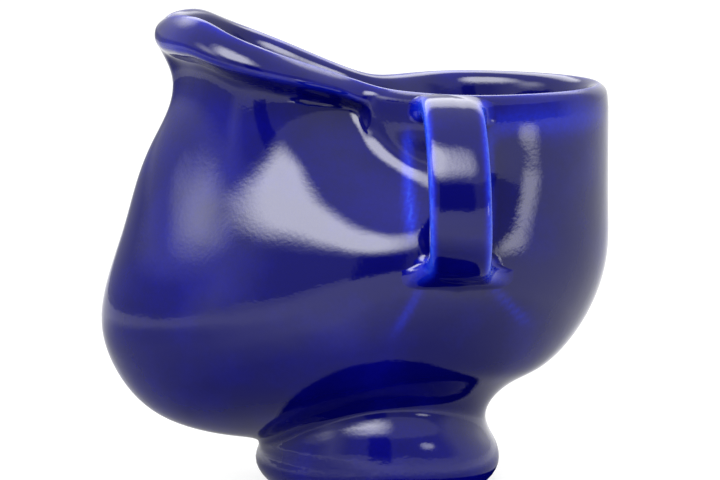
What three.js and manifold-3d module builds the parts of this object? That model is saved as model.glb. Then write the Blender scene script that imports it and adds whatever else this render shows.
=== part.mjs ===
// Shaving scuttle: a glazed stoneware mug with a round soap bowl at the back, a wide brush spout with a
// rolled lip at the front, one strap handle on the near side and a rounded foot ring.
// Units are millimetres and +Z is up. +X runs from the spout (front) to the soap bowl (back), and the
// handle stands out towards -Y. The group is moved at the end so that its origin is the centre of its
// footprint on the table.
import * as THREE from "three";
import { mergeVertices } from "three/addons/utils/BufferGeometryUtils.js";
import Module from "manifold-3d";

const wasm = await Module();
wasm.setup();

// ---------------------------------------------------------------- driving dimensions
const WALL = 4.4; // cast wall thickness
const JOINT_GAP = 0.3; // room for slip between two pieces that are luted together
const RIM_Z = 118.6; // height of the soap bowl's rim
const LIP_Z = 139.8; // height of the spout lip's highest stretch
const LIP_SLOPE = 0.38; // climb of the rim from the bowl to the spout lip
const NOSE_DROP = 2; // how far the lip dips again at the tip of the spout
const NOSE_DROP_TURN = 15;
const PEAK_LIFT = 1.8; // extra height of the lip's two shoulders, either side of the tip
const PEAK_TURN = 151;
const PEAK_SPREAD = 12;
const LIP_START_X = -0.5; // where that climb starts
const LIP_TURN = 2.6; // softness of the two turns of the climb
const FOOT_TOP_Z = 9.5; // height of the foot ring
const FLOOR_Z = FOOT_TOP_Z + JOINT_GAP; // underside of the vessel
const TRAY_Z = 99; // top of the soap tray
const TRAY_THICK = 5;
const BOWL_X = 30.5; // centre of the soap bowl

const AROUND = 64; // columns of facets round the vessel

// The glaze, a deep cobalt blue with a high gloss.
const glaze = new THREE.MeshStandardMaterial({ color: 0x0a0d70, roughness: 0.08, metalness: 0 });

// ---------------------------------------------------------------- small helpers
const mix = (a, b, t) => a + (b - a) * t;
const bump = (angle, centre, spread) => Math.exp(-(((angle - centre) / spread) ** 2));
const softPlus = (x, softness) => softness * Math.log1p(Math.exp(x / softness));

function smoothStep(low, high, x) {
  const t = THREE.MathUtils.clamp((x - low) / (high - low), 0, 1);
  return t * t * (3 - 2 * t);
}

// Second derivatives of the natural cubic spline with these knots through these values.
function splineBends(knots, values) {
  const n = knots.length;
  const bends = new Array(n).fill(0);
  const carry = new Array(n).fill(0);
  for (let i = 1; i < n - 1; i++) {
    const before = knots[i] - knots[i - 1];
    const after = knots[i + 1] - knots[i];
    const share = before / (before + after);
    const pivot = share * bends[i - 1] + 2;
    const step = (values[i + 1] - values[i]) / after - (values[i] - values[i - 1]) / before;
    bends[i] = (share - 1) / pivot;
    carry[i] = ((6 * step) / (before + after) - share * carry[i - 1]) / pivot;
  }
  bends[n - 1] = 0;
  for (let i = n - 2; i >= 0; i--) bends[i] = bends[i] * bends[i + 1] + carry[i];
  return bends;
}

function splineAt(knots, values, bends, t) {
  let i = 0;
  while (i < knots.length - 2 && t > knots[i + 1]) i++;
  const span = knots[i + 1] - knots[i];
  const a = (knots[i + 1] - t) / span;
  const b = 1 - a;
  const curve = ((a ** 3 - a) * bends[i] + (b ** 3 - b) * bends[i + 1]) * ((span * span) / 6);
  return a * values[i] + b * values[i + 1] + curve;
}

// The smooth curve through a column of points, as a function of the knot value.
function columnCurve(knots, points) {
  const axes = ["x", "y", "z"].map((axis) => {
    const values = points.map((p) => p[axis]);
    return { values, bends: splineBends(knots, values) };
  });
  return (t) => new THREE.Vector3(...axes.map((a) => splineAt(knots, a.values, a.bends, t)));
}

// A closed geometry through a list of rings of points. Each end is closed by a fan to its middle.
function loftGeometry(rings) {
  const count = rings[0].length;
  const middle = (ring) => ring.reduce((sum, p) => sum.add(p), new THREE.Vector3()).divideScalar(count);
  const points = [...rings.flat(), middle(rings[0]), middle(rings.at(-1))];
  const first = points.length - 2;
  const faces = [];
  for (let i = 0; i < count; i++) {
    const next = (i + 1) % count;
    faces.push(first, next, i);
    for (let r = 0; r < rings.length - 1; r++) {
      const low = r * count;
      const high = low + count;
      faces.push(low + i, low + next, high + next, low + i, high + next, high + i);
    }
    const top = (rings.length - 1) * count;
    faces.push(first + 1, top + i, top + next);
  }
  const geometry = new THREE.BufferGeometry().setFromPoints(points);
  geometry.setIndex(faces);
  return geometry;
}

// The same geometry with every facet turned to face the other way.
function turnedOut(geometry) {
  const index = geometry.getIndex();
  for (let i = 0; i < index.count; i += 3) {
    const first = index.getX(i);
    index.setX(i, index.getX(i + 1));
    index.setX(i + 1, first);
  }
  return geometry;
}

function toSolid(geometry) {
  const bare = new THREE.BufferGeometry().setAttribute("position", geometry.getAttribute("position"));
  if (geometry.index) bare.setIndex(geometry.index);
  const merged = mergeVertices(bare, 1e-4);
  return new wasm.Manifold(
    new wasm.Mesh({
      numProp: 3,
      vertProperties: merged.attributes.position.array,
      triVerts: new Uint32Array(merged.index.array),
    }),
  );
}

function toGeometry(solid) {
  const mesh = solid.getMesh();
  const geometry = new THREE.BufferGeometry();
  geometry.setAttribute("position", new THREE.BufferAttribute(mesh.vertProperties, 3));
  geometry.setIndex(new THREE.BufferAttribute(mesh.triVerts, 1));
  return geometry;
}

// ---------------------------------------------------------------- outline rings of the vessel
// A ring is a closed outline seen from above. `turn` is 0 at the back (+X), 90 at the sides and 180 at
// the spout. Its width is a formula: `wide` and `egg` give an egg, `waist` pinches it between the soap
// bowl and the spout at `pinchTurn`, `wing` fills out the spout's two sides and `nose` narrows its tip.
// `bowlSpread` and `spoutSpread` say how far the waist runs out towards the bowl and towards the spout.
const WING_TURN = 136;
const WING_SPREAD = 13;
const NOSE_TURN = 166;
const NOSE_SPREAD = 12;

function outlinePoint(ring, turnSigned) {
  const turn = Math.abs(turnSigned);
  const angle = THREE.MathUtils.degToRad(turn);
  const middle = (ring.back[0] + ring.front[0]) / 2;
  const reach = (ring.back[0] - ring.front[0]) / 2;
  const pinchSpread = turn < ring.pinchTurn ? ring.bowlSpread : ring.spoutSpread;
  const width =
    ring.wide +
    ring.egg * Math.cos(angle) -
    ring.waist * bump(turn, ring.pinchTurn, pinchSpread) +
    ring.wing * bump(turn, WING_TURN, WING_SPREAD) -
    ring.nose * bump(turn, NOSE_TURN, NOSE_SPREAD);
  const even = (ring.back[1] + ring.front[1]) / 2;
  const tilt = (ring.back[1] - ring.front[1]) / 2;
  const dip = (ring.sideZ - even) * Math.sin(angle) ** 2;
  return new THREE.Vector3(
    middle + reach * Math.cos(angle),
    Math.sign(turnSigned) * Math.sin(angle) * width,
    even + tilt * Math.cos(angle) + dip,
  );
}

// back and front are [x, z] on the mirror plane, and sideZ is the height at the sides.
const plain = { egg: 0, waist: 0, pinchTurn: 97, bowlSpread: 18.5, spoutSpread: 18.5, wing: 0, nose: 0 };
const BELLY_RINGS = [
  { ...plain, back: [35.9, FLOOR_Z], front: [-35.6, FLOOR_Z], sideZ: FLOOR_Z, wide: 36.2 },
  { ...plain, back: [34.2, 13.4], front: [-35.4, 11.2], sideZ: 19.5, wide: 34.7 },
  { ...plain, back: [32.2, 19.2], front: [-36.2, 12.9], sideZ: 26.6, wide: 31.6 },
  { ...plain, back: [36.6, 27.4], front: [-44, 14.5], sideZ: 32.5, wide: 35.6 },
  { ...plain, back: [49.5, 35.2], front: [-65.1, 21], sideZ: 38.5, wide: 42, egg: 0.5 },
  { ...plain, back: [61.6, 49.4], front: [-78.5, 36.5], sideZ: 48.5, wide: 45.2, egg: 1 },
  { ...plain, back: [66.9, 63], front: [-81.5, 51], sideZ: 60, wide: 46.9, egg: 3 },
  { ...plain, back: [68.1, 80], front: [-74.8, 76], sideZ: 79, wide: 44.8, egg: 4.5 },
  {
    ...plain, back: [67.8, 98], front: [-66, 101.5], sideZ: 97, wide: 40, egg: 9, wing: 1.4,
    waist: 12.5, pinchTurn: 88, bowlSpread: 16, spoutSpread: 22,
  },
];
const CREST = {
  ...plain, back: [64.7, 0], front: [-61.6, 0], sideZ: 0, wide: 38, egg: 7.2, waist: 20.5, wing: 3.5, nose: 10,
};

function crestPoint(turn) {
  const p = outlinePoint(CREST, turn);
  const peak = PEAK_LIFT * bump(Math.abs(turn), PEAK_TURN, PEAK_SPREAD);
  const climb = LIP_SLOPE * softPlus(LIP_START_X - p.x, LIP_TURN) + peak;
  const top = LIP_Z - NOSE_DROP * bump(Math.abs(turn), 180, NOSE_DROP_TURN);
  p.z = top - softPlus(top - RIM_Z - climb, 1.2);
  return p;
}

// Outward direction of the crest in plan.
function crestOutward(turn) {
  const step = 0.5;
  const ahead = crestPoint(turn + step).sub(crestPoint(turn - step));
  return new THREE.Vector3(ahead.y, -ahead.x, 0).normalize();
}

// The lip is drawn from the crest as [outwards, down]: a plain rounded rim on the bowl, which swells
// into a rolled collar with a cove under it along the spout. The collar is small at its bowl end, large
// beside the spout's tip, and softer round the tip itself.
const COLLAR_END_X = -1;
const COLLAR_SMALL_X = -8.5;
const COLLAR_LARGE_X = -54;
const NOSE_SOFT_TURN = 13;
const LIP_SECTIONS = {
  cove: { rim: [3, 10], small: [-0.4, 10], large: [-1.8, 18], nose: [-1.3, 15.8] },
  heel: { rim: [2.9, 6.4], small: [0.9, 7.4], large: [0.6, 12.6], nose: [1.5, 9.5] },
  edge: { rim: [2.7, 4.2], small: [4, 5.2], large: [5.3, 9.4], nose: [3, 6] },
  roll: { rim: [2.1, 1.7], small: [2.9, 2.2], large: [4.3, 4.2], nose: [2.8, 2.6] },
};
const LIP_STEPS = ["cove", "heel", "edge", "roll"];

function lipPoint(step, turn) {
  const section = LIP_SECTIONS[step];
  const crest = crestPoint(turn);
  const collar = smoothStep(COLLAR_END_X, COLLAR_SMALL_X, crest.x);
  const size = THREE.MathUtils.clamp((COLLAR_SMALL_X - crest.x) / (COLLAR_SMALL_X - COLLAR_LARGE_X), 0, 1);
  const nose = bump(Math.abs(turn), 180, NOSE_SOFT_TURN);
  const at = (i) => {
    const side = mix(section.rim[i], mix(section.small[i], section.large[i], size), collar);
    return mix(side, section.nose[i], nose);
  };
  return crest.addScaledVector(crestOutward(turn), at(0)).add(new THREE.Vector3(0, 0, -at(1)));
}

function outerControl(turn) {
  return [
    ...BELLY_RINGS.map((ring) => outlinePoint(ring, turn)),
    ...LIP_STEPS.map((step) => lipPoint(step, turn)),
    crestPoint(turn),
  ];
}

// Knots that suit every column: the mean distance between neighbouring rings.
function meanKnots(control) {
  const samples = [0, 45, 90, 135, 180].map(control);
  const knots = [0];
  for (let k = 1; k < samples[0].length; k++) {
    const mean = samples.reduce((sum, column) => sum + column[k].distanceTo(column[k - 1]), 0) / samples.length;
    knots.push(knots[k - 1] + mean);
  }
  return knots;
}

const OUTER_KNOTS = meanKnots(outerControl);
const outerCurve = (turn) => columnCurve(OUTER_KNOTS, outerControl(turn));

// The direction out of the clay, for either face of the wall, at a knot value.
function clayNormal(curve, turn, knot) {
  const step = 0.4;
  const along = curve(turn + step)(knot).sub(curve(turn - step)(knot));
  const column = curve(turn);
  const onward = column(knot + step).sub(column(knot - step));
  return along.cross(onward).normalize();
}

// Inside, from the crest down: the rounded mouth, then the outer rings moved in by the wall, then a floor.
const MOUTH_STEPS = [[-1.9, 1.5], [-3.6, 5]];
const INNER_RINGS = [8, 7, 6, 5, 4]; // the belly rings that the inside follows
const WELL = { ...plain, back: [29, 24], front: [-40, 19.2], sideZ: 24, wide: 29 };
const FLOOR = { ...plain, back: [17, 16.2], front: [-19, 16.2], sideZ: 16.2, wide: 17 };
const FLOOR_MIDDLE = { ...plain, back: [5, 15.2], front: [-5, 15.2], sideZ: 15.2, wide: 5 };

function innerControl(turn) {
  const mouth = MOUTH_STEPS.map(([out, down]) =>
    crestPoint(turn).addScaledVector(crestOutward(turn), out).add(new THREE.Vector3(0, 0, -down)),
  );
  const walls = INNER_RINGS.map((k) =>
    outlinePoint(BELLY_RINGS[k], turn).addScaledVector(clayNormal(outerCurve, turn, OUTER_KNOTS[k]), -WALL),
  );
  const floor = [WELL, FLOOR, FLOOR_MIDDLE].map((ring) => outlinePoint(ring, turn));
  return [crestPoint(turn), ...mouth, ...walls, ...floor];
}

const INNER_KNOTS = meanKnots(innerControl);
const innerCurve = (turn) => columnCurve(INNER_KNOTS, innerControl(turn));

// Knot values to draw, with `steps[k]` facets between ring k and ring k + 1.
const drawnKnots = (knots, steps) =>
  steps.flatMap((count, k) => Array.from({ length: count }, (_, i) => mix(knots[k], knots[k + 1], i / count)));

const turns = Array.from({ length: AROUND }, (_, i) => -180 + (360 * i) / AROUND);
// The rings of points at these knot values, moved out of the clay by `away`.
const ringsOf = (curve, knots, away = 0) => {
  const columns = turns.map(curve);
  return knots.map((knot) =>
    columns.map((column, i) =>
      away ? column(knot).addScaledVector(clayNormal(curve, turns[i], knot), away) : column(knot),
    ),
  );
};

// ---------------------------------------------------------------- vessel
const OUTER_STEPS = [1, 2, 1, 2, 3, 2, 2, 3, 3, 2, 2, 2, 2];
const INNER_STEPS = [1, 2, 3, 3, 3, 2, 2, 2, 2, 1];

function vesselGeometry() {
  const outside = ringsOf(outerCurve, drawnKnots(OUTER_KNOTS, OUTER_STEPS));
  const inside = ringsOf(innerCurve, [...drawnKnots(INNER_KNOTS, INNER_STEPS), INNER_KNOTS.at(-1)]);
  return loftGeometry([...outside, ...inside]);
}

// The vessel with no hollow, swollen by the joint gap: what is luted to the outside is cut by it.
function vesselEnvelope() {
  const knots = [...drawnKnots(OUTER_KNOTS, OUTER_STEPS), OUTER_KNOTS.at(-1)];
  return toSolid(loftGeometry(ringsOf(outerCurve, knots, JOINT_GAP)));
}

// ---------------------------------------------------------------- foot ring
const FOOT_RADIUS = 36.3; // widest, half-way up the bead
const FOOT_BEAD = 7; // height of the widest line
const FOOT_REST_RADIUS = 31; // outer edge of the dry face that stands on the table
const FOOT_HOLE = 26.5; // inner radius at the table
const FOOT_HOLE_TOP = 27.5;

function footGeometry() {
  const bead = new THREE.SplineCurve([
    new THREE.Vector2(FOOT_REST_RADIUS, 0),
    new THREE.Vector2(33.6, 1.7),
    new THREE.Vector2(35.6, 4),
    new THREE.Vector2(FOOT_RADIUS, FOOT_BEAD),
    new THREE.Vector2(35.9, FOOT_TOP_Z),
  ]).getPoints(9);
  const inside = [new THREE.Vector2(FOOT_HOLE_TOP, FOOT_TOP_Z), new THREE.Vector2(FOOT_HOLE, 1.2)];
  const start = new THREE.Vector2(FOOT_HOLE + 1.2, 0);
  return new THREE.LatheGeometry([start, ...bead, ...inside, start.clone()], AROUND).rotateX(Math.PI / 2);
}

// ---------------------------------------------------------------- handle
const HANDLE_X = 18.4; // middle of the strap along the mug
const STRAP_WIDE = 17.2;
const STRAP_THICK = 6.6;
const STRAP_LEAN = 2.2; // the strap's foot stands this much further back than its top
// Centre line of the strap, [y, z], from inside the rim, round the grip and back into the belly.
const STRAP_LINE = [
  [-27.5, 115.3], [-38, 114.5], [-46.5, 110.4], [-52.5, 104], [-56.2, 96.4], [-57.4, 88.4], [-56, 79.8],
  [-50.5, 72.8], [-41, 69.1], [-33, 67],
];
const ROOT_FLARE = 5; // how much each edge spreads where the strap's foot meets the belly
const ROOT_THICKER = 1.5;
const TOP_FLARE = 1.2;

function strapRing(centre, forward, width, thick, x) {
  const outward = new THREE.Vector3(0, forward.z, -forward.y);
  const corner = Math.min(thick / 2, 3);
  const ring = [];
  for (const [sx, so] of [[1, -1], [1, 1], [-1, 1], [-1, -1]]) {
    for (const part of [0, 0.25, 0.5, 0.75, 1]) {
      const swing = (Math.PI / 2) * (sx * so > 0 ? 1 - part : part);
      const across = sx * (width / 2 - corner + corner * Math.sin(swing));
      const out = so * (thick / 2 - corner + corner * Math.cos(swing));
      ring.push(centre.clone().add(new THREE.Vector3(x + across, 0, 0)).addScaledVector(outward, out));
    }
  }
  return ring;
}

function handleGeometry(envelope) {
  const line = STRAP_LINE.map(([y, z]) => new THREE.Vector3(0, y, z));
  const knots = [0];
  for (let k = 1; k < line.length; k++) knots.push(knots[k - 1] + line[k].distanceTo(line[k - 1]));
  const curve = columnCurve(knots, line);
  const total = knots.at(-1);
  const steps = 30;
  const rings = [];
  for (let i = 0; i <= steps; i++) {
    const at = (total * i) / steps;
    const forward = curve(at + 0.2).sub(curve(at - 0.2)).normalize();
    const root = smoothStep(total - 24, total - 8, at);
    const top = smoothStep(22, 8, at);
    const width = STRAP_WIDE + 2 * (ROOT_FLARE * root + TOP_FLARE * top);
    const thick = STRAP_THICK + ROOT_THICKER * root;
    rings.push(strapRing(curve(at), forward, width, thick, HANDLE_X + STRAP_LEAN * (at / total)));
  }
  return toGeometry(toSolid(loftGeometry(rings)).subtract(envelope));
}

// ---------------------------------------------------------------- soap tray and its dam
const TRAY_RADIUS = 33.5; // reaches into the bowl's wall, where the wall then trims it
const DRAIN_RADIUS = 2.6;
const DRAIN_CIRCLE = 15;
const DRAINS = 6;
const DAM_HIGH = 9;
const DAM_THICK = 4;
const DAM_HALF_ANGLE = 44;

// The room inside the vessel, less the joint gap, from well below the tray to just under the rim. It is
// drawn with the same rings and facets as the inside of the wall, so that the two never cross.
const ROOM_LOW = INNER_KNOTS[5];
const ROOM_HIGH = INNER_KNOTS[2];

function cavity() {
  const drawn = drawnKnots(INNER_KNOTS, INNER_STEPS).filter((knot) => knot >= ROOM_HIGH && knot <= ROOM_LOW);
  return toSolid(turnedOut(loftGeometry(ringsOf(innerCurve, drawn, JOINT_GAP))));
}

function cylinderSolid(radius, low, high, x, y, sides) {
  const geometry = new THREE.CylinderGeometry(radius, radius, high - low, sides).rotateX(Math.PI / 2);
  return toSolid(geometry.translate(x, y, (low + high) / 2));
}

function trayGeometry(room) {
  let tray = cylinderSolid(TRAY_RADIUS, TRAY_Z - TRAY_THICK, TRAY_Z, BOWL_X, 0, AROUND).intersect(room);
  tray = tray.subtract(cylinderSolid(DRAIN_RADIUS, TRAY_Z - 9, TRAY_Z + 9, BOWL_X, 0, 20));
  for (let i = 0; i < DRAINS; i++) {
    const angle = (2 * Math.PI * i) / DRAINS;
    const x = BOWL_X + DRAIN_CIRCLE * Math.cos(angle);
    const y = DRAIN_CIRCLE * Math.sin(angle);
    tray = tray.subtract(cylinderSolid(DRAIN_RADIUS, TRAY_Z - 9, TRAY_Z + 9, x, y, 20));
  }
  return toGeometry(tray);
}

// A curved strip that stands on the tray's open edge, across the waist.
function damGeometry(room) {
  const low = TRAY_Z + JOINT_GAP;
  const shape = new THREE.Shape();
  const half = THREE.MathUtils.degToRad(DAM_HALF_ANGLE);
  shape.absarc(0, 0, TRAY_RADIUS - 0.4, Math.PI - half, Math.PI + half, false);
  shape.absarc(0, 0, TRAY_RADIUS - 0.4 - DAM_THICK, Math.PI + half, Math.PI - half, true);
  const strip = new THREE.ExtrudeGeometry(shape, { depth: DAM_HIGH, bevelEnabled: false, curveSegments: 24 });
  return toGeometry(toSolid(strip.translate(BOWL_X, 0, low)).intersect(room));
}

// ---------------------------------------------------------------- assembly
function piece(name, geometry) {
  const made = new THREE.Mesh(geometry, glaze);
  made.name = name;
  return made;
}

const room = cavity();
const scuttle = new THREE.Group();
scuttle.add(
  piece("vessel_body", vesselGeometry()),
  piece("foot_ring", footGeometry()),
  piece("strap_handle", handleGeometry(vesselEnvelope())),
  piece("soap_tray", trayGeometry(room)),
  piece("tray_dam", damGeometry(room)),
);

// The origin goes to the middle of the footprint, on the table.
const bounds = new THREE.Box3().setFromObject(scuttle);
const middle = bounds.getCenter(new THREE.Vector3());
scuttle.position.set(-middle.x, -middle.y, -bounds.min.z);

export default scuttle;
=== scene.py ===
"""A cobalt-glazed shaving scuttle on a pale floor, over its CAD frame."""

import math

import bpy
import numpy as np
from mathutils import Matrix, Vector
from mathutils.bvhtree import BVHTree


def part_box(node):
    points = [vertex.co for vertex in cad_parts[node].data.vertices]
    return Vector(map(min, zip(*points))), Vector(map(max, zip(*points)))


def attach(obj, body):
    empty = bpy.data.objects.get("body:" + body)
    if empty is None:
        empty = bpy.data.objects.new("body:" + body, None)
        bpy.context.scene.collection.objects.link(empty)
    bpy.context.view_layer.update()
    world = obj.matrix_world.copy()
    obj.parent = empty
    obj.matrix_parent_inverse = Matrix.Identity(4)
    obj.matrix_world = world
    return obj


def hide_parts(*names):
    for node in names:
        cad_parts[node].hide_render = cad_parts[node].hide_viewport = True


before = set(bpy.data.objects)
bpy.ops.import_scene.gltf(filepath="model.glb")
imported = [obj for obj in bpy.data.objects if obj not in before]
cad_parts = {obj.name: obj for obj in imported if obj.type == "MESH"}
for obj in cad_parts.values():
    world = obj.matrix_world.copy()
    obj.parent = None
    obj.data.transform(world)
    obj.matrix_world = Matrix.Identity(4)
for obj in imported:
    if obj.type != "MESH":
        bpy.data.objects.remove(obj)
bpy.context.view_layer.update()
MM = 0.001

# The drawing below is in millimetres about the foot's own axis. The foot ring's box says where that axis is.
foot_low, foot_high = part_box("foot_ring")
AXIS = (Vector(foot_low) + Vector(foot_high)) / 2
AXIS.z = 0.0

# ------------------------------------------------------------------ the vessel's shape
WALL = 4.4
RIM_Z = 118.6
LIP_Z = 139.8
LIP_SLOPE = 0.38
NOSE_DROP, NOSE_DROP_TURN = 2.0, 15
PEAK_LIFT, PEAK_TURN, PEAK_SPREAD = 1.8, 151, 12
LIP_START_X = -0.5
LIP_TURN = 2.6
SEAM_Z = 9.65
WING_TURN, WING_SPREAD = 136, 13
NOSE_TURN, NOSE_SPREAD = 166, 12


def ring(back, front, side, wide, egg=0.0, waist=0.0, wing=0.0, nose=0.0, pinch=97, spreads=(18.5, 18.5)):
    """An outline: (x, z) at the back and front, height at the sides, half width, bulges and pinches."""
    return dict(
        back=back, front=front, side=side, wide=wide, egg=egg, waist=waist, wing=wing, nose=nose, pinch=pinch,
        spreads=spreads,
    )


def level(radius, z):
    """A plain round ring of the foot."""
    return ring((radius, z), (-radius, z), z, radius)


FOOT_RINGS = [level(32.4, 0.7), level(33.9, 1.9), level(35.6, 4.2), level(36.3, 7.0)]
BELLY_RINGS = [
    ring((35.9, SEAM_Z), (-35.6, SEAM_Z), SEAM_Z, 36.2),
    ring((34.2, 13.4), (-35.4, 11.2), 19.5, 34.7),
    ring((32.2, 19.2), (-36.2, 12.9), 26.6, 31.6),
    ring((36.6, 27.4), (-44, 14.5), 32.5, 35.6),
    ring((49.5, 35.2), (-65.1, 21), 38.5, 42, egg=0.5),
    ring((61.6, 49.4), (-78.5, 36.5), 48.5, 45.2, egg=1),
    ring((66.9, 63), (-81.5, 51), 60, 46.9, egg=3),
    ring((68.1, 80), (-74.8, 76), 79, 44.8, egg=4.5),
    ring((67.8, 98), (-66, 101.5), 97, 40, egg=9, waist=12.5, wing=1.4, pinch=88, spreads=(16, 22)),
]
CREST = ring((64.7, 0), (-61.6, 0), 0, 38, egg=7.2, waist=20.5, wing=3.5, nose=10)

COLLAR_END_X, COLLAR_SMALL_X, COLLAR_LARGE_X = -1, -8.5, -54
NOSE_SOFT_TURN = 13
# (outwards, down) from the crest: on the bowl, at the two ends of the collar, and round the spout's tip
LIP_SECTIONS = [
    dict(rim=(3.0, 10), small=(-0.4, 10), large=(-1.8, 18), nose=(-1.3, 15.8)),
    dict(rim=(2.9, 6.4), small=(0.9, 7.4), large=(0.6, 12.6), nose=(1.5, 9.5)),
    dict(rim=(2.7, 4.2), small=(4.0, 5.2), large=(5.3, 9.4), nose=(3, 6)),
    dict(rim=(2.1, 1.7), small=(2.9, 2.2), large=(4.3, 4.2), nose=(2.8, 2.6)),
]
MOUTH_STEPS = [(-2.5, 1.1), (-3.9, 4)]
INNER_RINGS = [8, 7, 6, 5, 4]
FLOOR_RINGS = [
    ring((29, 24), (-40, 19.2), 24, 29),
    ring((17, 16.2), (-19, 16.2), 16.2, 17),
    ring((5, 15.2), (-5, 15.2), 15.2, 5),
]


def bump(value, centre, spread):
    return np.exp(-(((value - centre) / spread) ** 2))


def soft_plus(value, softness):
    return softness * np.logaddexp(0.0, value / softness)


def smooth_step(low, high, value):
    t = np.clip((value - low) / (high - low), 0, 1)
    return t * t * (3 - 2 * t)


def outline(shape, turn):
    """Points of a ring, seen from above, at these signed turns in degrees: 0 is the back, 180 the spout."""
    away = np.abs(turn)
    angle = np.radians(away)
    middle = (shape["back"][0] + shape["front"][0]) / 2
    reach = (shape["back"][0] - shape["front"][0]) / 2
    width = (
        shape["wide"]
        + shape["egg"] * np.cos(angle)
        - shape["waist"] * bump(away, shape["pinch"], np.where(away < shape["pinch"], *shape["spreads"]))
        + shape["wing"] * bump(away, WING_TURN, WING_SPREAD)
        - shape["nose"] * bump(away, NOSE_TURN, NOSE_SPREAD)
    )
    even = (shape["back"][1] + shape["front"][1]) / 2
    tilt = (shape["back"][1] - shape["front"][1]) / 2
    dip = (shape["side"] - even) * np.sin(angle) ** 2
    x = middle + reach * np.cos(angle)
    y = np.sign(turn) * np.sin(angle) * width
    return np.stack([x, y, even + tilt * np.cos(angle) + dip], axis=-1)


def crest_line(turn):
    p = outline(CREST, turn)
    peak = PEAK_LIFT * bump(np.abs(turn), PEAK_TURN, PEAK_SPREAD)
    climb = LIP_SLOPE * soft_plus(LIP_START_X - p[..., 0], LIP_TURN) + peak
    top = LIP_Z - NOSE_DROP * bump(np.abs(turn), 180, NOSE_DROP_TURN)
    p[..., 2] = top - soft_plus(top - RIM_Z - climb, 1.2)
    return p


def crest_outward(turn):
    along = crest_line(turn + 0.5) - crest_line(turn - 0.5)
    out = np.stack([along[..., 1], -along[..., 0], np.zeros_like(turn)], axis=-1)
    return out / np.linalg.norm(out, axis=-1, keepdims=True)


def lip_line(section, turn):
    crest = crest_line(turn)
    collar = smooth_step(COLLAR_END_X, COLLAR_SMALL_X, crest[..., 0])
    size = np.clip((COLLAR_SMALL_X - crest[..., 0]) / (COLLAR_SMALL_X - COLLAR_LARGE_X), 0, 1)
    nose = bump(np.abs(turn), 180, NOSE_SOFT_TURN)
    at = []
    for i in (0, 1):
        side = section["small"][i] + (section["large"][i] - section["small"][i]) * size
        side = section["rim"][i] + (side - section["rim"][i]) * collar
        at.append(side + (section["nose"][i] - side) * nose)
    moved = crest + crest_outward(turn) * at[0][..., None]
    moved[..., 2] -= at[1]
    return moved


def outer_control(turn):
    lines = [outline(r, turn) for r in FOOT_RINGS + BELLY_RINGS]
    lines += [lip_line(section, turn) for section in LIP_SECTIONS]
    return np.stack(lines + [crest_line(turn)], axis=1)


def mean_knots(control):
    sample = control(np.array([0.0, 45, 90, 135, 180]))
    gaps = np.linalg.norm(np.diff(sample, axis=1), axis=2).mean(axis=0)
    return np.concatenate([[0], np.cumsum(gaps)])


def spline_matrix(knots, at):
    """Rows that turn control points into points of their natural cubic spline."""
    n = len(knots)
    h = np.diff(knots)
    left, right = np.eye(n), np.zeros((n, n))
    for i in range(1, n - 1):
        left[i, i - 1 : i + 2] = h[i - 1] / 6, (h[i - 1] + h[i]) / 3, h[i] / 6
        right[i, i - 1 : i + 2] = 1 / h[i - 1], -1 / h[i - 1] - 1 / h[i], 1 / h[i]
    bends = np.linalg.solve(left, right)
    i = np.clip(np.searchsorted(knots, at, side="right") - 1, 0, n - 2)
    a = (knots[i + 1] - at) / h[i]
    b = 1 - a
    rows = np.zeros((len(at), n))
    k = np.arange(len(at))
    rows[k, i] += a
    rows[k, i + 1] += b
    ca, cb = (a**3 - a) * h[i] ** 2 / 6, (b**3 - b) * h[i] ** 2 / 6
    return rows + ca[:, None] * bends[i] + cb[:, None] * bends[i + 1]


OUTER_KNOTS = mean_knots(outer_control)


def outer_points(turn, at):
    return np.einsum("mk,nkc->mnc", spline_matrix(OUTER_KNOTS, at), outer_control(turn))


def outer_normals(turn, at):
    step = 0.4
    along = outer_points(turn + step, at) - outer_points(turn - step, at)
    up = outer_points(turn, at + step) - outer_points(turn, at - step)
    n = np.cross(along, up)
    return n / np.linalg.norm(n, axis=2, keepdims=True)


def inner_control(turn):
    lines = [crest_line(turn)]
    for out, down in MOUTH_STEPS:
        p = crest_line(turn) + crest_outward(turn) * out
        p[..., 2] -= down
        lines.append(p)
    first = len(FOOT_RINGS)
    for k in INNER_RINGS:
        n = outer_normals(turn, np.array([OUTER_KNOTS[first + k]]))[0]
        lines.append(outline(BELLY_RINGS[k], turn) - n * WALL)
    lines += [outline(r, turn) for r in FLOOR_RINGS]
    return np.stack(lines, axis=1)


INNER_KNOTS = mean_knots(inner_control)


def rows_between(knots, gap):
    """Knot values about this far apart, with one on every knot."""
    at = []
    for a, b, g in zip(knots[:-1], knots[1:], gap):
        count = max(2, round((b - a) / g))
        at += list(a + (b - a) * np.arange(count) / count)
    return np.array(at + [knots[-1]])


# ------------------------------------------------------------------ meshes
def new_object(name, points, faces, material, thin=None):
    """A smooth mesh object from points in millimetres about the foot's axis."""
    mesh = bpy.data.meshes.new(name)
    mesh.from_pydata([tuple(p) for p in np.asarray(points) * MM + np.array(AXIS)], [], faces)
    mesh.shade_smooth()
    if thin is not None:
        mesh.attributes.new("thin", "FLOAT", "POINT").data.foreach_set("value", np.asarray(thin, np.float32))
    mesh.materials.append(material)
    made = bpy.data.objects.new(name, mesh)
    bpy.context.scene.collection.objects.link(made)
    return made


def band_faces(rows, count, start=0):
    faces = []
    for r in range(rows - 1):
        low = start + r * count
        for i in range(count):
            j = (i + 1) % count
            faces.append((low + i, low + j, low + count + j, low + count + i))
    return faces


# ------------------------------------------------------------------ materials
def nodes_of(material):
    material.use_nodes = True
    tree = material.node_tree
    tree.nodes.clear()
    return tree


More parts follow.
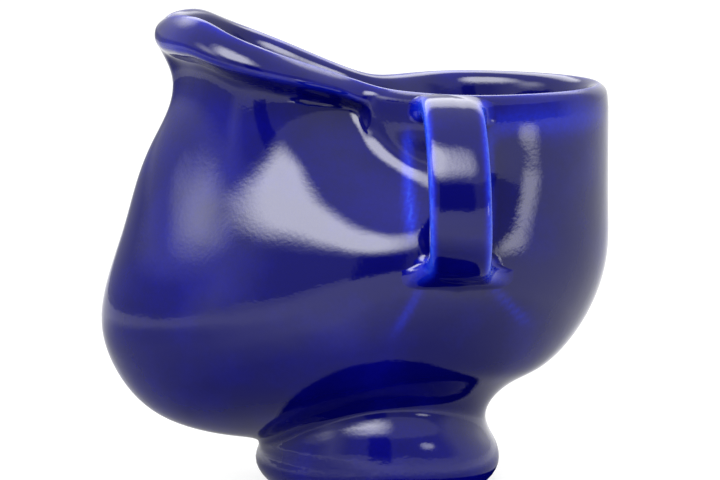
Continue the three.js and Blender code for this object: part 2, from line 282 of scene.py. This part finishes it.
def add(tree, kind, **settings):
    made = tree.nodes.new(kind)
    for key, value in settings.items():
        if key.startswith("in_"):
            made.inputs[key[3:].replace("_", " ")].default_value = value
        else:
            setattr(made, key, value)
    return made


def ramp(tree, source, stops):
    made = tree.nodes.new("ShaderNodeValToRGB")
    elements = made.color_ramp.elements
    elements[0].position, elements[0].color = stops[0]
    elements[1].position, elements[1].color = stops[-1]
    for position, color in stops[1:-1]:
        elements.new(position).color = color
    tree.links.new(source, made.inputs["Fac"])
    return made


def math_node(tree, operation, *sources):
    made = tree.nodes.new("ShaderNodeMath")
    made.operation = operation
    for i, source in enumerate(sources):
        if isinstance(source, (int, float)):
            made.inputs[i].default_value = source
        else:
            tree.links.new(source, made.inputs[i])
    return made.outputs[0]


def noise(tree, coordinates, scale, detail=2.0, roughness=0.5):
    made = add(tree, "ShaderNodeTexNoise", in_Scale=scale, in_Detail=detail, in_Roughness=roughness)
    tree.links.new(coordinates, made.inputs["Vector"])
    return made.outputs["Fac"]


def glaze_material(name):
    """Deep cobalt glass, lighter where it is thin and where painted highlight is laid on, with orange peel
    over slow waves.
    """
    material = bpy.data.materials.new(name)
    tree = nodes_of(material)
    out = add(tree, "ShaderNodeOutputMaterial")
    shader = add(tree, "ShaderNodeBsdfPrincipled")
    shader.inputs["Roughness"].default_value = 0.06
    shader.inputs["IOR"].default_value = 1.45
    tree.links.new(shader.outputs[0], out.inputs["Surface"])
    where = add(tree, "ShaderNodeTexCoord").outputs["Object"]
    # this attribute holds thin glaze and also the painted highlight beside the strap
    thin = add(tree, "ShaderNodeAttribute", attribute_name="thin").outputs["Fac"]
    cloud = noise(tree, where, 38, 3)
    grain = noise(tree, where, 900, 2)
    cloudy = math_node(tree, "MULTIPLY_ADD", cloud, 1.1, -0.5)
    grainy = math_node(tree, "MULTIPLY_ADD", grain, 0.5, -0.25)
    depth = math_node(tree, "ADD", thin, math_node(tree, "MULTIPLY", cloudy, 0.5))
    speckle = math_node(tree, "MULTIPLY", grainy, math_node(tree, "ADD", thin, 0.2))
    depth = math_node(tree, "ADD", depth, speckle)
    colour = ramp(
        tree,
        depth,
        [(0.0, (0.0004, 0.0004, 0.06, 1)), (0.12, (0.0006, 0.0006, 0.10, 1)), (0.5, (0.002, 0.008, 0.30, 1)),
         (1.0, (0.02, 0.07, 0.6, 1))],
    )
    tree.links.new(colour.outputs["Color"], shader.inputs["Base Color"])
    peel = noise(tree, where, 850, 1.5)
    waves = noise(tree, where, 90, 1)
    fine = add(tree, "ShaderNodeBump", in_Strength=1.0, in_Distance=0.00002)
    slow = add(tree, "ShaderNodeBump", in_Strength=1.0, in_Distance=0.00012)
    tree.links.new(peel, fine.inputs["Height"])
    tree.links.new(waves, slow.inputs["Height"])
    tree.links.new(slow.outputs["Normal"], fine.inputs["Normal"])
    tree.links.new(fine.outputs["Normal"], shader.inputs["Normal"])
    return material


def clay_material(name):
    """Bare fired stoneware."""
    material = bpy.data.materials.new(name)
    tree = nodes_of(material)
    out = add(tree, "ShaderNodeOutputMaterial")
    shader = add(tree, "ShaderNodeBsdfPrincipled")
    shader.inputs["Roughness"].default_value = 0.85
    tree.links.new(shader.outputs[0], out.inputs["Surface"])
    where = add(tree, "ShaderNodeTexCoord").outputs["Object"]
    patches = noise(tree, where, 160, 5, 0.65)
    colour = ramp(
        tree,
        patches,
        [(0.3, (0.50, 0.43, 0.35, 1)), (0.55, (0.62, 0.56, 0.48, 1)), (0.8, (0.70, 0.65, 0.58, 1))],
    )
    tree.links.new(colour.outputs["Color"], shader.inputs["Base Color"])
    grit = noise(tree, where, 1500, 3, 0.7)
    rough = add(tree, "ShaderNodeBump", in_Strength=0.8, in_Distance=0.00008)
    tree.links.new(grit, rough.inputs["Height"])
    tree.links.new(rough.outputs["Normal"], shader.inputs["Normal"])
    return material


glaze = glaze_material("cobalt_glaze")
clay = clay_material("bare_clay")

# ------------------------------------------------------------------ vessel
HANDLE_X = 18.4
COLUMNS = 320
turns = -180 + 360 * np.arange(COLUMNS) / COLUMNS
# distance between rows, from one drawn ring to the next: the foot, the neck, the belly, then the lip
OUTER_GAPS = [1.2] * 5 + [1.4] * 2 + [2.0] * 5 + [0.6] * (len(OUTER_KNOTS) - 13)
INNER_GAPS = [0.6, 0.9] + [2.4] * (len(INNER_KNOTS) - 3)
outer_at = rows_between(OUTER_KNOTS, OUTER_GAPS)
inner_at = rows_between(INNER_KNOTS, INNER_GAPS)

outer = outer_points(turns, outer_at)
inner = np.einsum("mk,nkc->mnc", spline_matrix(INNER_KNOTS, inner_at), inner_control(turns))
UNDERSIDE = [(31.6, 1.2), (30, 4), (28.6, 9.0), (27.0, 9.75), (18, 9.9), (9, 10.1), (2, 10.2)]
under = np.stack([outline(level(r, z), turns) for r, z in reversed(UNDERSIDE)])
rows = np.concatenate([under, outer, inner[1:]])

# how thin the glaze ran: over the crest and along the collar's edge
CREST_THIN, COLLAR_THIN = 0.25, 0.25
# lighter glaze per point: thin glaze, plus painted highlight beside the strap (below)
thin = np.zeros(rows.shape[:2])
first = len(under)
edge_knot, crest_knot = OUTER_KNOTS[-3], OUTER_KNOTS[-1]
collar = smooth_step(COLLAR_END_X, COLLAR_SMALL_X, crest_line(turns)[:, 0])
thin[first : first + len(outer_at)] = (
    CREST_THIN * bump(outer_at, crest_knot, 1.2)[:, None]
    + COLLAR_THIN * bump(outer_at, edge_knot, 1.0)[:, None] * collar[None, :]
)
thin[first + len(outer_at) :] = CREST_THIN * bump(inner_at[1:], 0, 1.2)[:, None]

# lighter also under the bowl's rim on the near side; thin glaze on the two ridges below the strap and at the
# foot's edge; and beside the strap, a painted highlight standing in for the lit flanks there
RIM_BAND_LIGHTER, RIM_BAND_Z, RIM_BAND_SPREAD = 0.3, 111, 4.5
RIDGE_THIN, RIDGE_SPREAD = 0.3, 1.7
FOOT_EDGE_THIN, FOOT_EDGE_Z, FOOT_EDGE_SPREAD = 0.4, 1.0, 1.3
px, py, pz = outer[..., 0], outer[..., 1], outer[..., 2]
near_side = smooth_step(-8, -18, py)
bowl_side = smooth_step(20, 34, px)
# painted highlight: lighter strips on the body beside the strap, standing in for its lit flanks
painted_sheen_by_strap = 0.55 * bump(px, HANDLE_X - 11.4, 1.5) + 0.4 * bump(px, HANDLE_X + 11.2, 1.1)
painted_sheen_by_strap *= smooth_step(76, 84, pz) * smooth_step(111, 104, pz)
ridges = bump(px, HANDLE_X - 10 - 0.52 * (64 - pz), RIDGE_SPREAD)
ridges += bump(px, HANDLE_X + 12 + 0.86 * (65 - pz), RIDGE_SPREAD)
ridges *= smooth_step(49, 58, pz) * smooth_step(68, 63, pz)
thin[first : first + len(outer_at)] += (
    RIM_BAND_LIGHTER * bump(pz, RIM_BAND_Z, RIM_BAND_SPREAD) * bowl_side * near_side
    + painted_sheen_by_strap * near_side
    + RIDGE_THIN * ridges * near_side
    + FOOT_EDGE_THIN * bump(pz, FOOT_EDGE_Z, FOOT_EDGE_SPREAD)
)

points = rows.reshape(-1, 3)
faces = band_faces(len(rows), COLUMNS)
last = (len(rows) - 1) * COLUMNS
faces.append(tuple(reversed(range(COLUMNS))))
faces.append(tuple(last + i for i in range(COLUMNS)))
vessel = new_object("glazed_vessel", points, faces, glaze, thin.reshape(-1))
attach(vessel, "root")
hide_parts("vessel_body")

# ------------------------------------------------------------------ foot
# (radius, height) round the bare ring, from inside the recess to inside the glaze
FOOT_LINE = [
    (27.2, 9.6), (26.9, 6), (26.6, 2), (27.0, 0.7), (27.8, 0.05), (29.4, 0.0), (31.0, 0.05), (32.0, 0.5),
    (32.35, 1.1), (31.6, 1.8), (29.5, 6), (28.4, 9.3),
]
foot_rows = np.stack([outline(level(r, z), turns) for r, z in FOOT_LINE + FOOT_LINE[:1]])
count = len(FOOT_LINE) * COLUMNS
foot_faces = [tuple(v % count for v in face) for face in band_faces(len(foot_rows), COLUMNS)]
foot = new_object("dry_foot", foot_rows[:-1].reshape(-1, 3), foot_faces, clay)
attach(foot, "root")
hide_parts("foot_ring")

# ------------------------------------------------------------------ handle
STRAP_WIDE, STRAP_THICK, STRAP_LEAN = 17.2, 6.6, 2.2
# the strap's centre line as (y, z), from inside the rim, round the grip and back into the belly
STRAP_LINE = np.array([
    [-27.5, 115.3], [-38, 114.5], [-46.5, 110.4], [-52.5, 104], [-56.2, 96.4], [-57.4, 88.4], [-56, 79.8],
    [-50.5, 72.8], [-41, 69.1], [-33, 67],
])
skin = BVHTree.FromPolygons(
    [tuple(p) for p in outer.reshape(-1, 3)], band_faces(len(outer_at), COLUMNS), all_triangles=False
)
strap_knots = np.concatenate([[0], np.cumsum(np.linalg.norm(np.diff(STRAP_LINE, axis=0), axis=1))])
STRAP_LENGTH = strap_knots[-1]
AROUND_STRAP = 64
SECTION_POWER = 0.5  # 1 would be an ellipse, and less is flatter with tighter edges


def strap_section():
    """The strap's outline as across and outwards, a flat band with round edges."""
    angle = 2 * np.pi * np.arange(AROUND_STRAP) / AROUND_STRAP
    across = np.sign(np.cos(angle)) * np.abs(np.cos(angle)) ** SECTION_POWER * STRAP_WIDE / 2
    out = np.sign(np.sin(angle)) * np.abs(np.sin(angle)) ** SECTION_POWER * STRAP_THICK / 2
    return across, out


SECTION_ACROSS, SECTION_OUT = strap_section()


def strap_centre(at):
    return spline_matrix(strap_knots, np.clip(at, 0, STRAP_LENGTH)) @ STRAP_LINE


def strap_points(at, column):
    """Points of the strap's surface: `at` along the strap and `column` round it, both arrays."""
    middle = strap_centre(at)
    forward = strap_centre(at + 0.2) - strap_centre(at - 0.2)
    forward /= np.linalg.norm(forward, axis=1, keepdims=True)
    outward = np.stack([forward[:, 1], -forward[:, 0]], axis=1)
    x = HANDLE_X + STRAP_LEAN * at / STRAP_LENGTH + SECTION_ACROSS[column]
    y = middle[:, 0] + outward[:, 0] * SECTION_OUT[column]
    z = middle[:, 1] + outward[:, 1] * SECTION_OUT[column]
    return np.stack([x, y, z], axis=1)


def outside(point):
    """Signed distance of a point from the vessel's skin, and the skin's nearest point and normal."""
    near, normal, _, _ = skin.find_nearest(Vector(point))
    return (Vector(point) - near).dot(normal), near, normal


def strap_point(at, column):
    return strap_points(np.array([at]), np.array([column]))[0]


def meet(column, start, step):
    """Where a line of the strap, followed from `start`, enters the vessel."""
    at = start
    while 0 < at < STRAP_LENGTH and outside(strap_point(at, column))[0] > 0:
        at += step
    low, high = at - step, at
    for _ in range(18):
        mid = (low + high) / 2
        if outside(strap_point(mid, column))[0] > 0:
            low = mid
        else:
            high = mid
    return (low + high) / 2


FILLET_ROWS = 14


def fillet(column, start, step, reach_back, reach_out):
    """Rows of points from the strap out onto the skin, along one line of the strap."""
    hit = meet(column, start, step)
    sign = 1 if step > 0 else -1
    a = strap_point(hit - sign * reach_back, column)
    c = strap_point(hit, column)
    middle = (strap_point(hit, 0) + strap_point(hit, AROUND_STRAP // 2)) / 2
    away = Vector(c - middle)
    _, _, normal = outside(c)
    away -= normal * away.dot(normal)
    away.normalize()
    _, b, normal = outside(np.array(Vector(c) + away * reach_out))
    t = np.linspace(0, 1, FILLET_ROWS)[:, None] ** 0.8
    curve = a * (1 - t) ** 2 + 2 * c * t * (1 - t) + np.array(b - normal * 0.01) * t**2
    return hit - sign * reach_back, curve


STRAP_ROWS = 68  # between the two fillets
across_share = np.abs(SECTION_ACROSS) / (STRAP_WIDE / 2)
facing_out = SECTION_OUT / (STRAP_THICK / 2)
lines = []
for column in range(AROUND_STRAP):
    side = across_share[column]
    up = facing_out[column]
    top_reach = 1.2 + 2.4 * side + (1.0 - up) * 1.2
    low_reach = 3.2 + 7 * side**3 * (up > -0.2) + 2.0 * (up < 0)
    top_at, top = fillet(column, STRAP_LENGTH * 0.35, -0.5, top_reach, top_reach)
    low_at, low = fillet(column, STRAP_LENGTH * 0.65, 0.5, low_reach, low_reach)
    middle_at = np.linspace(top_at, low_at, STRAP_ROWS + 2)[1:-1]
    middle = strap_points(middle_at, np.full(len(middle_at), column))
    lines.append(np.concatenate([top[::-1], middle, low]))
strap_rows = np.stack(lines, axis=1)
strap_faces = [tuple(reversed(face)) for face in band_faces(len(strap_rows), AROUND_STRAP)]
STRAP_EDGE_THIN = 0.75
rise = np.linspace(0, 1, FILLET_ROWS)
along_strap = np.concatenate([rise, np.ones(STRAP_ROWS), np.linspace(1, 0, FILLET_ROWS)])
strap_thin = np.tile(STRAP_EDGE_THIN * bump(across_share, 0.96, 0.16), (len(strap_rows), 1))
strap_thin *= along_strap[:, None]
handle = new_object("glazed_strap", strap_rows.reshape(-1, 3), strap_faces, glaze, strap_thin.reshape(-1))
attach(handle, "root")
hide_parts("strap_handle")

# ------------------------------------------------------------------ tray and dam keep their CAD shapes
for name in ("soap_tray", "tray_dam"):
    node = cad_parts[name]
    node.data.materials.clear()
    node.data.materials.append(glaze)

# ------------------------------------------------------------------ stage
STAGE_MIDDLE = 0.075  # the height that lamps and flags are placed about
FLOOR_SHADE = (0.15, 0.15, 0.15, 1)
FLOOR_GLOW = 0.84
FLOOR_HALF = 6


def link(name, vertices, faces, material):
    """A stage piece, in metres."""
    mesh = bpy.data.meshes.new(name)
    mesh.from_pydata(vertices, [], faces)
    mesh.materials.append(material)
    made = bpy.data.objects.new(name, mesh)
    bpy.context.scene.collection.objects.link(made)
    return made


def floor_material():
    """A pale floor, mostly lit from within so that it stays even behind the mug."""
    material = bpy.data.materials.new("floor_white")
    tree = nodes_of(material)
    out = add(tree, "ShaderNodeOutputMaterial")
    shader = add(tree, "ShaderNodeBsdfPrincipled")
    shader.inputs["Base Color"].default_value = FLOOR_SHADE
    shader.inputs["Roughness"].default_value = 0.7
    shader.inputs["Emission Color"].default_value = (1, 1, 1, 1)
    shader.inputs["Emission Strength"].default_value = FLOOR_GLOW
    tree.links.new(shader.outputs[0], out.inputs["Surface"])
    return material


def softbox_material(name, strength, edge):
    """A lamp cloth: even in the middle and fading out over its outer part."""
    material = bpy.data.materials.new(name)
    tree = nodes_of(material)
    out = add(tree, "ShaderNodeOutputMaterial")
    where = add(tree, "ShaderNodeTexCoord").outputs["UV"]
    away = add(tree, "ShaderNodeVectorMath", operation="LENGTH")
    tree.links.new(where, away.inputs[0])
    fade = add(tree, "ShaderNodeMapRange", interpolation_type="SMOOTHSTEP")
    fade.inputs["From Min"].default_value = 1.0
    fade.inputs["From Max"].default_value = 1.0 - edge
    tree.links.new(away.outputs["Value"], fade.inputs["Value"])
    lamp = add(tree, "ShaderNodeEmission")
    lamp.inputs["Strength"].default_value = strength
    clear = add(tree, "ShaderNodeBsdfTransparent")
    mixed = add(tree, "ShaderNodeMixShader")
    tree.links.new(fade.outputs["Result"], mixed.inputs[0])
    tree.links.new(clear.outputs[0], mixed.inputs[1])
    tree.links.new(lamp.outputs[0], mixed.inputs[2])
    tree.links.new(mixed.outputs[0], out.inputs["Surface"])
    return material


def direction(azimuth, elevation):
    """Unit vector seen from the mug: azimuth 0 is towards the near side, and grows towards the bowl's end."""
    a, e = math.radians(azimuth), math.radians(elevation)
    return Vector((math.sin(a) * math.cos(e), -math.cos(a) * math.cos(e), math.sin(e)))


def shade_uv(made, shares):
    """Keeps each vertex's share, 0 in the middle and 1 at the edge, in the U of a UV layer."""
    layer = made.data.uv_layers.new(name="share")
    for loop in made.data.loops:
        layer.data[loop.index].uv = (shares[loop.vertex_index], 0.0)


def softbox(name, azimuth, elevation, half_wide, half_high, strength, edge, distance=1.3, power=2.5):
    """A round-cornered lamp bent round the mug, its place and half sizes in degrees as seen from there."""
    rings, around = 12, 64
    vertices, shares = [], []
    for r in range(rings + 1):
        for k in range(around):
            angle = 2 * math.pi * k / around
            c, s = math.cos(angle), math.sin(angle)
            c = math.copysign(abs(c) ** (2 / power), c)
            s = math.copysign(abs(s) ** (2 / power), s)
            share = r / rings
            ray = direction(azimuth + half_wide * c * share, elevation + half_high * s * share)
            vertices.append(tuple(Vector((0, 0, STAGE_MIDDLE)) + ray * distance))
            shares.append(share)
    made = link(name, vertices, band_faces(rings + 1, around), softbox_material(name, strength, edge))
    shade_uv(made, shares)
    made.visible_camera = False
    made.visible_shadow = False


def only_in_reflections(made):
    made.visible_camera = False
    made.visible_diffuse = False
    made.visible_shadow = False
    made.visible_transmission = False


def dark_material(name, stops):
    """Black cloth that thins out towards its edge: the flags, and the painted shade over the table."""
    material = bpy.data.materials.new(name)
    tree = nodes_of(material)
    out = add(tree, "ShaderNodeOutputMaterial")
    away = add(tree, "ShaderNodeSeparateXYZ")
    tree.links.new(add(tree, "ShaderNodeTexCoord").outputs["UV"], away.inputs[0])
    cover = ramp(tree, away.outputs["X"], [(r, (v, v, v, 1)) for r, v in stops])
    black = add(tree, "ShaderNodeBsdfDiffuse", in_Color=(0, 0, 0, 1))
    clear = add(tree, "ShaderNodeBsdfTransparent")
    mixed = add(tree, "ShaderNodeMixShader")
    tree.links.new(cover.outputs["Color"], mixed.inputs[0])
    tree.links.new(clear.outputs[0], mixed.inputs[1])
    tree.links.new(black.outputs[0], mixed.inputs[2])
    tree.links.new(mixed.outputs[0], out.inputs["Surface"])
    return material


def table_patch(name, x, y, half_x, half_y, rise, stops):
    """A flat oval shade just over the table; its cover goes from its middle (0) to its edge (1)."""
    rings, around = 16, 64
    vertices, shares = [], []
    for r in range(rings + 1):
        for k in range(around):
            angle = 2 * math.pi * k / around
            c, s = math.cos(angle), math.sin(angle)
            c, s = math.copysign(abs(c) ** 0.8, c), math.copysign(abs(s) ** 0.8, s)
            patch_x = AXIS.x + (x + half_x * c * r / rings) * MM
            patch_y = AXIS.y + (y + half_y * s * r / rings) * MM
            vertices.append((patch_x, patch_y, rise))
            shares.append(r / rings)
    made = link(name, vertices, band_faces(rings + 1, around), dark_material(name, stops))
    shade_uv(made, shares)
    only_in_reflections(made)


def front_flag(name, left, right, low, high, distance, stops):
    """An upright curved shade in front, between two azimuths and two elevations as seen from the mug."""
    wide, tall = 40, 12
    vertices, shares = [], []
    for r in range(tall + 1):
        for k in range(wide + 1):
            a, b = k / wide, r / tall
            azimuth = math.radians(left + (right - left) * a)
            z = STAGE_MIDDLE + distance * math.tan(math.radians(low + (high - low) * b))
            vertices.append((distance * math.sin(azimuth), -distance * math.cos(azimuth), z))
            shares.append(max(abs(2 * a - 1), 2 * b - 1))
    faces = [
        (r * (wide + 1) + k, r * (wide + 1) + k + 1, (r + 1) * (wide + 1) + k + 1, (r + 1) * (wide + 1) + k)
        for r in range(tall) for k in range(wide)
    ]
    made = link(name, vertices, faces, dark_material(name, stops))
    shade_uv(made, shares)
    only_in_reflections(made)


corners = [(-FLOOR_HALF, -FLOOR_HALF, 0), (FLOOR_HALF, -FLOOR_HALF, 0)]
corners += [(FLOOR_HALF, FLOOR_HALF, 0), (-FLOOR_HALF, FLOOR_HALF, 0)]
link("floor", corners, [(0, 1, 2, 3)], floor_material())

# painted shade: dark sheets just over the table, seen only in reflections, standing in for the shade on the
# table round the mug
table_patch("foot_shade", 6, -16, 37, 76, 0.0002, [(0.0, 1.0), (0.93, 1.0), (0.98, 0.0)])
table_patch("mug_shade", -10, -45, 150, 150, 0.0001, [(0.0, 0.65), (0.42, 0.62), (1.0, 0.0)])
table_patch("left_shade", -240, -40, 230, 300, 0.00005, [(0.0, 0.55), (0.4, 0.5), (1.0, 0.0)])

# lamps and dark flags, seen only as reflections
softbox("key_softbox", -24, 47, 50, 22, 13, 0.6, power=3)
softbox("low_softbox", -70, 28, 22, 14, 5, 0.95)
softbox("bowl_softbox", 50, 1, 10, 5, 6, 0.8, distance=0.28)
softbox("back_softbox", 145, 20, 30, 25, 1.5, 0.6)
softbox("top_softbox", 182, 44, 60, 18, 5, 0.5)
front_flag("front_flag", -50, 88, 0, 25, 1.2, [(0.0, 0.62), (0.75, 0.55), (1.0, 0.0)])
front_flag("left_flag", -178, -50, -30, 14, 1.2, [(0.0, 0.55), (0.75, 0.5), (1.0, 0.0)])
front_flag("near_flag", -14, 13, -3, 27, 1.1, [(0.0, 0.85), (0.75, 0.8), (1.0, 0.0)])

# ------------------------------------------------------------------ light and camera
world = bpy.data.worlds.new("studio")
bpy.context.scene.world = world
world.use_nodes = True
world.node_tree.nodes["Background"].inputs["Color"].default_value = (1, 1, 1, 1)
world.node_tree.nodes["Background"].inputs["Strength"].default_value = 1.0

CAMERA_AZIMUTH, CAMERA_ELEVATION, CAMERA_DISTANCE = -2.8, 9.1, 0.8
CAMERA_TARGET = Vector((0.0012, 0.0, 0.0731))
camera = bpy.data.objects.new("camera", bpy.data.cameras.new("camera"))
bpy.context.scene.collection.objects.link(camera)
bpy.context.scene.camera = camera
a, e = math.radians(CAMERA_AZIMUTH), math.radians(CAMERA_ELEVATION)
back = Vector((math.sin(a) * math.cos(e), -math.cos(a) * math.cos(e), math.sin(e)))
camera.location = CAMERA_TARGET + back * CAMERA_DISTANCE
camera.rotation_mode = "QUATERNION"
camera.rotation_quaternion = (-back).to_track_quat("-Z", "Y")
camera.data.lens = 136.8
camera.data.sensor_width = 36
camera.data.clip_start = 0.01
bpy.context.scene.view_settings.view_transform = "Standard"
